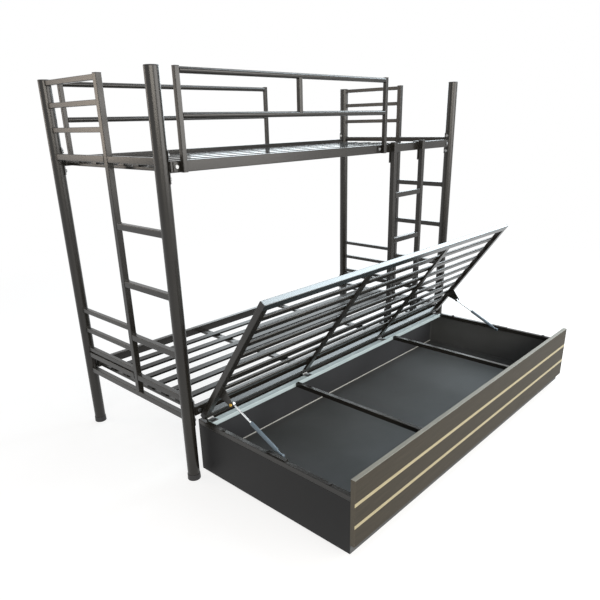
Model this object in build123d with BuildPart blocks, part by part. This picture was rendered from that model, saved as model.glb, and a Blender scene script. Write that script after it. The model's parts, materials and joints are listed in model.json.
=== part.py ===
from build123d import *
from math import atan2, cos, degrees, hypot, radians, sin
import os

os.makedirs("parts", exist_ok=True)

# Bunk bed of steel tube with a roll-out storage box in front of its lower deck.
# Origin: on the floor, at mid length, on the line through the axes of the two front posts.
# X runs along the bed, -Y points to the front, +Z points up. Millimetres.

# Bed frame
bed_length = 1980.0
bed_width = 780.0
bed_height = 1590.0
post_diameter = 50.8
post_wall = 1.6
stile_from_front = 350.0
tube_size = 25.4
tube_wall = 1.5
tube_corner = 2.5
slim_size = 20.0
slim_wall = 1.2
slim_corner = 2.0
weld_gap = 0.2
corner_cut_share = 0.6
small_sides = 8

# Levels of the cross members of each end, at their centre lines
upper_end_level = 1287.0
upper_guard_levels = (1576.0, 1490.0, 1394.0)
rung_levels = (1033.0, 796.0, 560.0)
lower_guard_levels = (597.0, 500.0, 401.0)
lower_end_level = 373.0
crossbar_level = 290.5

# Decks: side rails, cross bars and slats
rail_height = 40.0
rail_thickness = 25.0
rail_wall = 1.6
upper_rail_bottom = 1247.0
lower_rail_bottom = 288.0
deck_bar_width = 38.0
deck_bar_thickness = 12.0
deck_bar_rise = 2.0
slat_width = 38.0
slat_thickness = 10.0
slat_wall = 1.2
slat_count = 6
slat_pitch = 105.0
deck_end_inset = 62.0
deck_bar_count = 4

# Saddle brackets that carry the side rails on the posts
saddle_thickness = 3.0
saddle_height = 112.0
saddle_reach = 13.5
tongue_length = 55.0
tongue_wall = 2.0
tongue_play = 0.3
rail_end_gap = 1.0
bolt_hole = 8.6
bolt_shank = 8.0
bolt_head_width = 13.0
bolt_head_height = 5.3
bolt_grip = 9.0
bolt_edge_distance = 15.0

# Guards on the upper side rails
guard_start = 78.0
guard_length = 1214.0
guard_post_size = 19.0
guard_bar_diameter = 22.0
guard_bar_wall = 1.5
guard_top_level = 1577.0
guard_mid_level = 1434.0
foot_plate_width = 48.0
foot_plate_thickness = 3.0
foot_plate_margin = 3.0

# Ladder
ladder_from_right = 474.0
ladder_spacing = 264.0
ladder_foot_level = 352.0
hook_width = 38.0
hook_thickness = 4.0
hook_play = 0.5
hook_rest = 0.3
hook_drop = 26.0
hook_leg = 90.0
lower_hook_lip = 14.0

# Storage box
box_length = 1870.0
box_depth = 805.2
box_overlap = 8.0
box_bottom = 18.0
rim_level = 255.0
rim_size = 20.0
hinge_rail_setback = 39.2
hinge_rail_width = 30.0
sheet_thickness = 1.5
sheet_flange = 18.0
floor_level = 58.0
bearer_width = 38.0
bearer_height = 12.0
cross_tube_size = 20.0
cross_tube_offset = 403.0
board_thickness = 19.0
board_bottom = 56.0
board_top = 322.0
board_edge = 1.2
stripe_width = 14.0
stripe_depth = 2.0
stripe_shares = (0.36, 0.69)
buffer_diameter = 16.0
buffer_gap = 0.3

# Castors
wheel_diameter = 40.0
wheel_width = 18.0
axle_diameter = 6.0
running_fit = 0.05
cheek_gap = 0.3
cheek_thickness = 2.0
cheek_width = 20.0
castor_plate_length = 52.0
castor_plate_width = 44.0
castor_plate_thickness = 2.5
castor_inset = 46.0
castor_setback = 44.0

# Lid: its axis runs behind a rail between the side rims, near the rear of the box
lid_angle = 55.0
lid_front_gap = 68.0
lid_rail_width = 30.0
lid_rail_height = 25.0
lid_rise = 4.0
lid_slat_count = 8
lid_slat_width = 26.0
lid_slat_thickness = 11.0
lid_bar_thickness = 11.0
hinge_width = 30.0
hinge_leaf = 3.0
knuckle_diameter = 10.0
hinge_pin_diameter = 5.0
hinge_setback = 7.0
knuckle_gap = 0.4

# Gas struts
strut_line = 893.0
strut_foot_setback = 419.0
strut_foot_drop = 12.0
strut_top_run = 179.7
strut_top_drop = 59.8
cylinder_diameter = 16.0
cylinder_length = 154.0
cylinder_wall = 1.2
rod_diameter = 8.0
eye_diameter = 16.0
eye_thickness = 10.0
eye_neck_diameter = 9.0
fitting_length = 31.0
gland_length = 8.0
piston_length = 8.0
strut_pin_diameter = 7.0
strut_collar_diameter = 11.0
strut_collar_height = 1.5
strut_bracket_thickness = 3.0
strut_foot_length = 96.0
foot_bracket_margin = 1.0
foot_flange_width = 14.0
open_pivot_gap = 0.5

# Derived places
half_length = bed_length / 2
post_radius = post_diameter / 2
ends = (-half_length, half_length)
rows = (0.0, bed_width)
half_rail = rail_thickness / 2
upper_rail_top = upper_rail_bottom + rail_height
lower_rail_top = lower_rail_bottom + rail_height
saddle_inner = post_radius + weld_gap
saddle_outer = saddle_inner + saddle_thickness
rail_reach = half_length - saddle_outer - rail_end_gap
guard_plane = half_rail + weld_gap + foot_plate_thickness + guard_post_size / 2
box_rear = box_overlap
box_front = box_rear - box_depth
board_back = box_front
board_front = board_back - board_thickness
half_box = box_length / 2
hinge_rail_rear = box_rear - hinge_rail_setback
hinge_y = hinge_rail_rear + hinge_setback
hinge_z = rim_level + lid_rise
lid_depth = hinge_y - box_front - lid_front_gap
ladder_x = (half_length - ladder_from_right - ladder_spacing / 2,
            half_length - ladder_from_right + ladder_spacing / 2)


# Outlines drawn inside a sketch. What repeats has few sides, which keeps the model light:
# tube corners are cut flat instead of rounded, and small holes and shanks are many-sided
def cut_corners(width, height, corner):
    cut = corner * corner_cut_share
    x, y = width / 2, height / 2
    Polygon((x - cut, -y), (x, cut - y), (x, y - cut), (x - cut, y),
            (cut - x, y), (-x, y - cut), (-x, cut - y), (cut - x, -y), align=(Align.CENTER, Align.CENTER))


def tube_profile(width, height, wall, corner):
    cut_corners(width, height, corner)
    Rectangle(width - 2 * wall, height - 2 * wall, mode=Mode.SUBTRACT)


def small_hole(diameter, mode=Mode.ADD):
    RegularPolygon(diameter / 2, small_sides, major_radius=False, mode=mode)


def small_shank(diameter):
    RegularPolygon(diameter / 2, small_sides)


def plane_at_x(x):
    return Plane.YZ.offset(x)


def plane_at_y(y):
    return Plane.XZ.offset(-y)


def keep(shape, name):
    shape.part.label = name
    export_step(shape.part, "parts/" + name + ".step")
    box = shape.part.bounding_box()
    print(name, "solids", len(shape.part.solids()), "volume", round(shape.part.volume / 1000, 2), "cm3",
          "from", tuple(round(v, 1) for v in box.min), "to", tuple(round(v, 1) for v in box.max))


# Foot glides: round cups under the posts, a little wider at the floor
glide_floor = 3.0
glide_height = 26.0
glide_wall = 1.4
glide_flare = 0.8
glide_play = 0.15
glide_inner = post_radius + glide_play
glide_outer = glide_inner + glide_wall
with BuildPart() as foot_glides:
    with BuildSketch(Plane.XZ):
        with BuildLine():
            Polyline((0, 0), (glide_outer + glide_flare - glide_wall / 2, 0),
                     (glide_outer + glide_flare, glide_wall), (glide_outer, glide_height),
                     (glide_inner, glide_height), (glide_inner, glide_floor), (0, glide_floor), close=True)
        make_face()
    glide = revolve(axis=Axis.Z, mode=Mode.PRIVATE)
    with Locations(*[(x, y, 0) for x in ends for y in rows]):
        add(glide)
keep(foot_glides, "foot_glides")

# Post caps: flat discs with a plug inside the tube
cap_head = 3.5
cap_edge = 1.2
cap_plug = 16.0
cap_plug_radius = post_radius - post_wall - glide_play
post_top = bed_height - cap_head
with BuildPart() as post_caps:
    with BuildSketch(Plane.XZ):
        with BuildLine():
            Polyline((0, bed_height), (post_radius - cap_edge, bed_height),
                     (post_radius, bed_height - cap_edge), (post_radius, post_top),
                     (cap_plug_radius, post_top), (cap_plug_radius, post_top - cap_plug),
                     (0, post_top - cap_plug), close=True)
        make_face()
    cap = revolve(axis=Axis.Z, mode=Mode.PRIVATE)
    with Locations(*[(x, y, 0) for x in ends for y in rows]):
        add(cap)
keep(post_caps, "post_caps")

# Posts: round tubes with the holes of the saddle bolts
saddle_levels = (upper_rail_bottom + rail_height / 2, lower_rail_bottom + rail_height / 2)
bolt_rise = saddle_height / 2 - bolt_edge_distance
with BuildPart() as posts:
    with BuildSketch(Plane.XY.offset(glide_floor)):
        with Locations(*[(x, y) for x in ends for y in rows]):
            Circle(post_radius)
            Circle(post_radius - post_wall, mode=Mode.SUBTRACT)
    extrude(amount=post_top - glide_floor)
    with BuildSketch(plane_at_x(-half_length)):
        with Locations(*[(y, level + side * bolt_rise) for y in rows for level in saddle_levels
                         for side in (-1, 1)]):
            small_hole(bolt_hole)
    extrude(amount=post_diameter, mode=Mode.SUBTRACT)
    with BuildSketch(plane_at_x(half_length)):
        with Locations(*[(y, level + side * bolt_rise) for y in rows for level in saddle_levels
                         for side in (-1, 1)]):
            small_hole(bolt_hole)
    extrude(amount=-post_diameter, mode=Mode.SUBTRACT)
keep(posts, "posts")

# Mid stiles of the two ends, from the bottom crossbar up to the height of the posts
stile_foot = crossbar_level + tube_size / 2 + weld_gap
plug_head = 3.0
plug_depth = 12.0
stile_top = bed_height - plug_head
with BuildPart() as mid_stiles:
    with BuildSketch(Plane.XY.offset(stile_foot)):
        with Locations(*[(x, stile_from_front) for x in ends]):
            tube_profile(tube_size, tube_size, tube_wall, tube_corner)
    extrude(amount=stile_top - stile_foot)
keep(mid_stiles, "mid_stiles")


# Bars of the ends, along Y, shaped to the round posts and butted to the flat stiles
rear_span = (stile_from_front + tube_size / 2 + weld_gap, bed_width)
front_span = (0.0, stile_from_front - tube_size / 2 - weld_gap)
full_span = (0.0, bed_width)


def make_end_bars(levels, spans, size, wall, corner):
    with BuildPart() as bars:
        for low_y, high_y in spans:
            with BuildSketch(plane_at_y(high_y)):
                with Locations(*[(x, level) for x in ends for level in levels]):
                    tube_profile(size, size, wall, corner)
            extrude(amount=high_y - low_y)
        with BuildSketch(Plane.XY):
            with Locations(*[(x, y) for x in ends for y in rows]):
                Circle(post_radius + weld_gap)
        extrude(amount=bed_height, mode=Mode.SUBTRACT)
    return bars


for bars_name, levels, spans, size, wall, corner in (
        ("upper_end_rails", (upper_end_level,), (rear_span, front_span), tube_size, tube_wall, tube_corner),
        ("lower_end_rails", (lower_end_level,), (rear_span, front_span), tube_size, tube_wall, tube_corner),
        ("bottom_crossbars", (crossbar_level,), (full_span,), tube_size, tube_wall, tube_corner),
        ("upper_end_guards", upper_guard_levels, (rear_span,), slim_size, slim_wall, slim_corner),
        ("lower_end_guards", lower_guard_levels, (rear_span,), slim_size, slim_wall, slim_corner),
        ("end_rungs", rung_levels, (front_span,), tube_size, tube_wall, tube_corner)):
    keep(make_end_bars(levels, spans, size, wall, corner), bars_name)


# Saddle brackets: curved plates on the inner side of the posts
sides = ((0.0, -1), (bed_width, 1))
guard_posts_x = (-half_length + guard_start, -half_length + guard_start + guard_length)
plate_bolt_inset = 12.0
plate_left = foot_plate_width - guard_post_size / 2
guard_bolts_x = tuple(x - plate_left + plate_bolt_inset for x in guard_posts_x)
tongue_bolt_x = -guard_bolts_x[0]
with BuildPart() as saddle_brackets:
    for level in saddle_levels:
        with BuildSketch(Plane.XY.offset(level - saddle_height / 2)):
            with Locations(*[(-half_length, y) for y in rows]):
                Circle(saddle_outer)
                Circle(saddle_inner, mode=Mode.SUBTRACT)
            with Locations((-half_length + saddle_reach, bed_width / 2)):
                Rectangle(post_diameter, 2 * bed_width, align=(Align.MIN, Align.CENTER), mode=Mode.INTERSECT)
        extrude(amount=saddle_height)
        with BuildSketch(plane_at_x(-half_length)):
            with Locations(*[(y, level + side * bolt_rise) for y in rows for side in (-1, 1)]):
                small_hole(bolt_hole)
        extrude(amount=post_diameter, mode=Mode.SUBTRACT)
    mirror(about=Plane.YZ)
keep(saddle_brackets, "saddle_brackets")

# Tongues: short tubes welded to the saddles, over which the side rails are pushed
tongue_width = rail_thickness - 2 * (rail_wall + tongue_play)
tongue_height = rail_height - 2 * (rail_wall + tongue_play)
tongue_root = saddle_outer + weld_gap
with BuildPart() as rail_tongues:
    with BuildSketch(plane_at_x(-half_length + tongue_root)):
        with Locations(*[(y, level) for y in rows for level in saddle_levels]):
            Rectangle(tongue_width, tongue_height)
            Rectangle(tongue_width - 2 * tongue_wall, tongue_height - 2 * tongue_wall, mode=Mode.SUBTRACT)
    extrude(amount=tongue_length)
    for y, outward in sides:
        with BuildSketch(plane_at_y(y)):
            with Locations(*[(-tongue_bolt_x, level) for level in saddle_levels]):
                small_hole(bolt_hole)
        extrude(amount=-outward * tongue_width, mode=Mode.SUBTRACT)
    mirror(about=Plane.YZ)
keep(rail_tongues, "rail_tongues")


# Side rails: deep tubes pushed over the tongues, drilled on the outer side for their bolts
def make_side_rails(level, holes_x):
    with BuildPart() as rails:
        with BuildSketch(plane_at_x(-rail_reach)):
            with Locations(*[(y, level) for y in rows]):
                tube_profile(rail_thickness, rail_height, rail_wall, tube_corner)
        extrude(amount=2 * rail_reach)
        for y, outward in sides:
            with BuildSketch(plane_at_y(y)):
                with Locations(*[(x, level) for x in holes_x]):
                    small_hole(bolt_hole)
            extrude(amount=-outward * rail_thickness, mode=Mode.SUBTRACT)
    return rails


tongue_bolts_x = (-tongue_bolt_x, tongue_bolt_x)
upper_level, lower_level = saddle_levels
keep(make_side_rails(upper_level, tongue_bolts_x + guard_bolts_x[1:]), "upper_side_rails")
keep(make_side_rails(lower_level, tongue_bolts_x), "lower_side_rails")


# Hexagon bolts: one solid each, the seat plane looks outwards
def add_bolts(seats):
    for seat in seats:
        with BuildSketch(seat) as head:
            RegularPolygon(bolt_head_width / 2, 6, major_radius=False)
        extrude(head.sketch, amount=bolt_head_height)
        with BuildSketch(seat) as shank:
            small_shank(bolt_shank)
        extrude(shank.sketch, amount=-bolt_grip)


def seat_at(x, y, z, direction):
    return Plane(origin=(x, y, z), z_dir=direction)


plate_face = half_rail + weld_gap
plate_front = plate_face + foot_plate_thickness
saddle_seats = [seat_at(side * (half_length - saddle_outer), y, level + step * bolt_rise, (-side, 0, 0))
                for side in (-1, 1) for level in saddle_levels for y in rows for step in (-1, 1)]
rail_bolts = ([(x, lower_level) for x in tongue_bolts_x] + [(tongue_bolt_x, upper_level)])
rail_seats = [seat_at(x, y + outward * half_rail, level, (0, outward, 0))
              for x, level in rail_bolts for y, outward in sides]
plate_seats = [seat_at(x, y + outward * plate_front, upper_level, (0, outward, 0))
               for x in guard_bolts_x for y, outward in sides]
with BuildPart() as frame_bolts:
    add_bolts(saddle_seats + rail_seats + plate_seats)
keep(frame_bolts, "frame_bolts")

# Decks: flat cross bars between the side rails, slats lying on them
deck_reach = half_length - deck_end_inset
deck_bar_step = 2 * deck_reach / (deck_bar_count - 1)
deck_bars_x = [-deck_reach + i * deck_bar_step for i in range(deck_bar_count)]
slat_start = bed_width / 2 - (slat_count - 1) * slat_pitch / 2
slats_y = [slat_start + i * slat_pitch for i in range(slat_count)]
slat_corner = 1.5
deck_bar_levels = [bottom + deck_bar_rise + deck_bar_thickness / 2
                   for bottom in (upper_rail_bottom, lower_rail_bottom)]
with BuildPart() as deck_cross_bars:
    with BuildSketch(plane_at_y(bed_width - half_rail - weld_gap)):
        with Locations(*[(x, level) for x in deck_bars_x for level in deck_bar_levels]):
            tube_profile(deck_bar_width, deck_bar_thickness, slat_wall, slat_corner)
    extrude(amount=bed_width - 2 * (half_rail + weld_gap))
keep(deck_cross_bars, "deck_cross_bars")

for deck_name, bar_level in zip(("upper_slats", "lower_slats"), deck_bar_levels):
    slat_level = bar_level + deck_bar_thickness / 2 + slat_thickness / 2
    with BuildPart() as slats:
        with BuildSketch(plane_at_x(-deck_reach - deck_bar_width / 2)):
            with Locations(*[(y, slat_level) for y in slats_y]):
                tube_profile(slat_width, slat_thickness, slat_wall, slat_corner)
        extrude(amount=2 * deck_reach + deck_bar_width)
    keep(slats, deck_name)


# Square caps in the open ends of tubes: a head as wide as the tube and a plug inside it
def add_square_caps(seats, size, wall, corner, play):
    for seat in seats:
        with BuildSketch(seat) as head:
            cut_corners(size, size, corner)
        extrude(head.sketch, amount=plug_head)
        with BuildSketch(seat) as plug:
            Rectangle(size - 2 * (wall + play), size - 2 * (wall + play))
        extrude(plug.sketch, amount=-plug_depth)


plug_play = 0.2
# Guards: two square posts each, with round bars between them and a short spindle in the middle
guard_centre_x = sum(guard_posts_x) / 2
guard_post_top = bed_height - plug_head
guard_wall = 1.5
guard_corner = 2.0


first_post, last_post = guard_posts_x
guard_clear = guard_post_size / 2 + weld_gap


def make_guard(y):
    with BuildPart() as guard:
        with BuildSketch(Plane.XY.offset(guard_mid_level)):
            with Locations((guard_centre_x, y)):
                tube_profile(guard_post_size, guard_post_size, guard_wall, guard_corner)
        extrude(amount=guard_top_level - guard_mid_level)
        with BuildSketch(plane_at_x(guard_centre_x - guard_post_size)):
            with Locations((y, guard_top_level), (y, guard_mid_level)):
                Circle(guard_bar_diameter / 2 + weld_gap)
        extrude(amount=2 * guard_post_size, mode=Mode.SUBTRACT)
        with BuildSketch(plane_at_x(first_post + guard_clear)):
            with Locations((y, guard_top_level), (y, guard_mid_level)):
                Circle(guard_bar_diameter / 2)
                Circle(guard_bar_diameter / 2 - guard_bar_wall, mode=Mode.SUBTRACT)
        extrude(amount=last_post - first_post - 2 * guard_clear)
        with BuildSketch(Plane.XY.offset(upper_rail_bottom)):
            with Locations(*[(x, y) for x in guard_posts_x]):
                tube_profile(guard_post_size, guard_post_size, guard_wall, guard_corner)
        extrude(amount=guard_post_top - upper_rail_bottom)
    return guard


guard_rows = (-guard_plane, bed_width + guard_plane)
keep(make_guard(guard_rows[0]), "front_guard")
keep(make_guard(guard_rows[1]), "rear_guard")

# Caps in the tops of the mid stiles and the guard posts
with BuildPart() as tube_caps:
    add_square_caps([seat_at(x, stile_from_front, stile_top, (0, 0, 1)) for x in ends],
                    tube_size, tube_wall, tube_corner, plug_play)
    add_square_caps([seat_at(x, y, guard_post_top, (0, 0, 1)) for x in guard_posts_x for y in guard_rows],
                    guard_post_size, guard_wall, guard_corner, plug_play)
keep(tube_caps, "tube_caps")

# Foot plates: flat plates between each guard post and the side rail, one bolt each
plate_height = rail_height - 2 * foot_plate_margin
with BuildPart() as guard_foot_plates:
    for y, outward in sides:
        with BuildSketch(plane_at_y(y + outward * plate_face)):
            with Locations(*[(x + guard_post_size / 2 - foot_plate_width / 2, upper_level)
                             for x in guard_posts_x]):
                cut_corners(foot_plate_width, plate_height, tube_corner)
            with Locations(*[(x, upper_level) for x in guard_bolts_x]):
                small_hole(bolt_hole, Mode.SUBTRACT)
        extrude(amount=-outward * foot_plate_thickness)
keep(guard_foot_plates, "guard_foot_plates")

# Ladder: square stiles and rungs in front of the rails, hung on them by bent strap hooks
hook_face = half_rail + hook_play
ladder_y = -(hook_face + hook_thickness + tube_size / 2)
ladder_rise = 6.0
ladder_top = upper_rail_top + ladder_rise
ladder_foot = ladder_foot_level + plug_head
with BuildPart() as ladder_stiles:
    with BuildSketch(Plane.XY.offset(ladder_foot)):
        with Locations(*[(x, ladder_y) for x in ladder_x]):
            tube_profile(tube_size, tube_size, tube_wall, tube_corner)
    extrude(amount=ladder_top - ladder_foot)
keep(ladder_stiles, "ladder_stiles")

rung_start = ladder_x[0] + tube_size / 2 + weld_gap
with BuildPart() as ladder_rungs:
    with BuildSketch(plane_at_x(rung_start)):
        with Locations(*[(ladder_y, level) for level in rung_levels]):
            tube_profile(tube_size, tube_size, tube_wall, tube_corner)
    extrude(amount=ladder_x[1] - ladder_x[0] - tube_size - 2 * weld_gap)
keep(ladder_rungs, "ladder_rungs")

with BuildPart() as ladder_caps:
    add_square_caps([seat_at(x, ladder_y, ladder_top, (0, 0, 1)) for x in ladder_x]
                    + [seat_at(x, ladder_y, ladder_foot, (0, 0, -1)) for x in ladder_x],
                    tube_size, tube_wall, tube_corner, plug_play)
keep(ladder_caps, "ladder_caps")

hook_back = hook_face + hook_thickness
upper_hook_under = upper_rail_top + hook_rest
lower_hook_under = lower_rail_top + hook_rest
with BuildPart() as ladder_hooks:
    for x in ladder_x:
        with BuildSketch(plane_at_x(x - hook_width / 2)):
            with BuildLine():
                Polyline((-hook_back, upper_rail_top - hook_leg), (-hook_face, upper_rail_top - hook_leg),
                         (-hook_face, upper_hook_under), (hook_face, upper_hook_under),
                         (hook_face, upper_rail_top - hook_drop), (hook_back, upper_rail_top - hook_drop),
                         (hook_back, upper_hook_under + hook_thickness),
                         (-hook_back, upper_hook_under + hook_thickness), close=True)
            make_face()
            with BuildLine():
                Polyline((-hook_back, lower_hook_under), (hook_face, lower_hook_under),
                         (hook_face, lower_rail_top - lower_hook_lip),
                         (hook_back, lower_rail_top - lower_hook_lip),
                         (hook_back, lower_hook_under + hook_thickness),
                         (-hook_face, lower_hook_under + hook_thickness),
                         (-hook_face, lower_rail_top + hook_leg), (-hook_back, lower_rail_top + hook_leg),
                         close=True)
            make_face()
        extrude(amount=hook_width)
keep(ladder_hooks, "ladder_hooks")

# Storage box: sheet walls folded inwards at their edges, under a rim of square tube
rim_bottom = rim_level - rim_size
wall_height = rim_bottom - box_bottom
inner_face = half_box - sheet_thickness - weld_gap
front_inner = box_front + sheet_thickness + weld_gap
rear_inner = box_rear - sheet_thickness - weld_gap
flange_end = sheet_flange + 2 * weld_gap


with BuildPart() as box_side_panels:
    for side, edge in ((-1, Align.MIN), (1, Align.MAX)):
        with BuildSketch(Plane.XY.offset(box_bottom)):
            with Locations((side * half_box, box_front)):
                Rectangle(sheet_thickness, box_depth, align=(edge, Align.MIN))
            with Locations((side * half_box, front_inner)):
                Rectangle(sheet_flange, sheet_thickness, align=(edge, Align.MIN))
            with Locations((side * half_box, rear_inner)):
                Rectangle(sheet_flange, sheet_thickness, align=(edge, Align.MAX))
        extrude(amount=wall_height)
        with BuildSketch(Plane.XY.offset(box_bottom)):
            with Locations((side * half_box, box_front + flange_end)):
                Rectangle(sheet_flange, box_depth - 2 * flange_end, align=(edge, Align.MIN))
        extrude(amount=sheet_thickness)
keep(box_side_panels, "box_side_panels")

# Front and rear walls of the box: flat sheets between the flanges of the side panels
screw_count = 8
screw_hole = 4.4
screw_margin = 70.0
screw_level = floor_level + (rim_bottom - floor_level) / 2
screw_step = 2 * (half_box - screw_margin) / (screw_count - 1)
screws_x = [-half_box + screw_margin + i * screw_step for i in range(screw_count)]


def make_long_panel(face_y, edge, holes_x):
    with BuildPart() as panel:
        with BuildSketch(plane_at_x(-inner_face)):
            with Locations((face_y, box_bottom)):
                Rectangle(sheet_thickness, wall_height, align=(edge, Align.MIN))
        extrude(amount=2 * inner_face)
        if holes_x:
            with BuildSketch(plane_at_y(face_y)):
                with Locations(*[(x, screw_level) for x in holes_x]):
                    small_hole(screw_hole)
            extrude(amount=-sheet_thickness, mode=Mode.SUBTRACT)
    return panel


keep(make_long_panel(box_front, Align.MIN, screws_x), "box_front_panel")
keep(make_long_panel(box_rear, Align.MAX, ()), "box_rear_panel")

rim_centre = half_box - rim_size / 2
rim_middle = rim_level - rim_size / 2
with BuildPart() as side_rims:
    with BuildSketch(plane_at_y(box_rear - plug_head)):
        with Locations((-rim_centre, rim_middle), (rim_centre, rim_middle)):
            tube_profile(rim_size, rim_size, tube_wall, tube_corner)
    extrude(amount=box_depth - plug_head)
keep(side_rims, "box_side_rims")

with BuildPart() as rim_caps:
    add_square_caps([seat_at(x, box_rear - plug_head, rim_middle, (0, 1, 0)) for x in (-rim_centre, rim_centre)],
                    rim_size, tube_wall, tube_corner, plug_play)
keep(rim_caps, "box_rim_caps")

# Long rims between them: one on each wall, and the wider rail that carries the hinges
rim_rail_reach = half_box - rim_size - weld_gap
with BuildPart() as box_long_rims:
    with BuildSketch(plane_at_x(-rim_rail_reach)):
        with Locations((box_front + rim_size / 2, rim_middle), (box_rear - rim_size / 2, rim_middle)):
            tube_profile(rim_size, rim_size, tube_wall, tube_corner)
        with Locations((hinge_rail_rear - hinge_rail_width / 2, rim_middle)):
            tube_profile(hinge_rail_width, rim_size, tube_wall, tube_corner)
    extrude(amount=2 * rim_rail_reach)
keep(box_long_rims, "box_long_rims")

cross_tube_rear = hinge_rail_rear - hinge_rail_width - weld_gap
with BuildPart() as box_cross_tubes:
    with BuildSketch(plane_at_y(cross_tube_rear)):
        with Locations(*[(x, rim_level - cross_tube_size / 2) for x in (-cross_tube_offset, cross_tube_offset)]):
            tube_profile(cross_tube_size, cross_tube_size, slim_wall, slim_corner)
    extrude(amount=cross_tube_rear - box_front - rim_size - weld_gap)
keep(box_cross_tubes, "box_cross_tubes")

# Floor of the box: a sheet on a frame of bearers, with the castors under its corners
floor_gap = 2 * (sheet_thickness + weld_gap)
bearer_top = floor_level - sheet_thickness
bearer_middle = bearer_top - bearer_height / 2
bearer_reach = half_box - flange_end - sheet_thickness
castor_x = half_box - castor_inset
inner_bearer_x = castor_x / (deck_bar_count - 1)
with BuildPart() as box_floor:
    with BuildSketch(Plane.XY.offset(bearer_top)):
        with Locations((0, box_front + box_depth / 2)):
            Rectangle(2 * inner_face, box_depth - 2 * floor_gap)
    extrude(amount=sheet_thickness)
keep(box_floor, "box_floor")

long_bearers_y = (box_front + floor_gap + bearer_width / 2, box_rear - floor_gap - bearer_width / 2)
with BuildPart() as floor_bearers:
    with BuildSketch(plane_at_x(-bearer_reach)):
        with Locations(*[(y, bearer_middle) for y in long_bearers_y]):
            tube_profile(bearer_width, bearer_height, slat_wall, slat_corner)
    extrude(amount=2 * bearer_reach)
    with BuildSketch(plane_at_y(long_bearers_y[1] - bearer_width / 2 - weld_gap)):
        with Locations(*[(x, bearer_middle) for x in (-castor_x, -inner_bearer_x, inner_bearer_x, castor_x)]):
            tube_profile(bearer_width, bearer_height, slat_wall, slat_corner)
    extrude(amount=long_bearers_y[1] - long_bearers_y[0] - bearer_width - 2 * weld_gap)
keep(floor_bearers, "box_floor_bearers")

# Front board: one long panel, taller than the rim, grooved for two inlaid stripes
board_height = board_top - board_bottom
stripe_levels = [board_top - share * board_height for share in stripe_shares]
screw_pilot = 3.6
screw_bite = 12.0
with BuildPart() as front_board:
    with BuildSketch(plane_at_x(-half_box)):
        with Locations((board_back, board_bottom)):
            Rectangle(board_thickness, board_height, align=(Align.MAX, Align.MIN))
        with Locations(*[(board_front, level) for level in stripe_levels]):
            Rectangle(stripe_depth, stripe_width, align=(Align.MIN, Align.CENTER), mode=Mode.SUBTRACT)
    extrude(amount=2 * half_box)
    long_edges = front_board.edges().filter_by(Axis.X).filter_by_position(Axis.Y, board_front, board_front)
    chamfer(long_edges.group_by(Axis.Z)[-1] + long_edges.group_by(Axis.Z)[0], length=board_edge)
    with BuildSketch(plane_at_y(board_back)):
        with Locations(*[(x, screw_level) for x in screws_x]):
            small_hole(screw_pilot)
    extrude(amount=screw_bite, mode=Mode.SUBTRACT)
keep(front_board, "front_board")

with BuildPart() as board_stripes:
    with BuildSketch(plane_at_x(-half_box)):
        with Locations(*[(board_front, level) for level in stripe_levels]):
            Rectangle(stripe_depth, stripe_width, align=(Align.MIN, Align.CENTER))
    extrude(amount=2 * half_box)
keep(board_stripes, "board_stripes")

screw_head = 9.0
screw_head_height = 2.4
screw_seat = box_front + sheet_thickness
with BuildPart() as board_screws:
    with BuildSketch(plane_at_y(screw_seat + screw_head_height)):
        with Locations(*[(x, screw_level) for x in screws_x]):
            small_shank(screw_head)
    extrude(amount=screw_head_height)
    with BuildSketch(plane_at_y(screw_seat)):
        with Locations(*[(x, screw_level) for x in screws_x]):
            small_shank(screw_pilot - weld_gap)
    extrude(amount=sheet_thickness + screw_bite - weld_gap)
keep(board_screws, "board_screws")

# Rubber buffers on the side rims, just under the closed lid
buffer_inset = 30.0
rear_buffer_from_hinge = 120.0
buffers_y = (hinge_y - lid_depth + buffer_inset, hinge_y - rear_buffer_from_hinge)
with BuildPart() as lid_buffers:
    with BuildSketch(Plane.XY.offset(rim_level)):
        with Locations(*[(x, y) for x in (-rim_centre, rim_centre) for y in buffers_y]):
            Circle(buffer_diameter / 2)
    extrude(amount=lid_rise - buffer_gap)
keep(lid_buffers, "lid_buffers")

# Castors: a folded fork, an axle and a wheel, at each corner of the box
wheel_radius = wheel_diameter / 2
castor_top = bearer_top - bearer_height
castors = [(x, y) for x in (-castor_x, castor_x)
           for y in (box_front + castor_setback, box_rear - castor_setback)]
cheek_inner = wheel_width / 2 + cheek_gap
cheek_outer = cheek_inner + cheek_thickness
axle_head_diameter = 9.0
axle_head = 2.0
with BuildPart() as castor_forks:
    for x, y in castors:
        with BuildSketch(Plane.XY.offset(castor_top)):
            with Locations((x, y)):
                cut_corners(castor_plate_width, castor_plate_length, tube_corner)
        extrude(amount=-castor_plate_thickness)
        for side in (-1, 1):
            with BuildSketch(plane_at_x(x + side * cheek_inner)):
                with Locations((y, wheel_radius)):
                    Circle(cheek_width / 2)
                    Rectangle(cheek_width, castor_top - castor_plate_thickness - wheel_radius,
                              align=(Align.CENTER, Align.MIN))
                    small_hole(axle_diameter + 2 * weld_gap, Mode.SUBTRACT)
            extrude(amount=side * cheek_thickness)
keep(castor_forks, "castor_forks")

with BuildPart() as castor_axles:
    for x, y in castors:
        with BuildSketch(plane_at_x(x - cheek_outer)):
            with Locations((y, wheel_radius)):
                Circle(axle_diameter / 2)
        extrude(amount=2 * cheek_outer)
        for side in (-1, 1):
            with BuildSketch(plane_at_x(x + side * cheek_outer)):
                with Locations((y, wheel_radius)):
                    small_shank(axle_head_diameter)
            extrude(amount=side * axle_head)
keep(castor_axles, "castor_axles")

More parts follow.
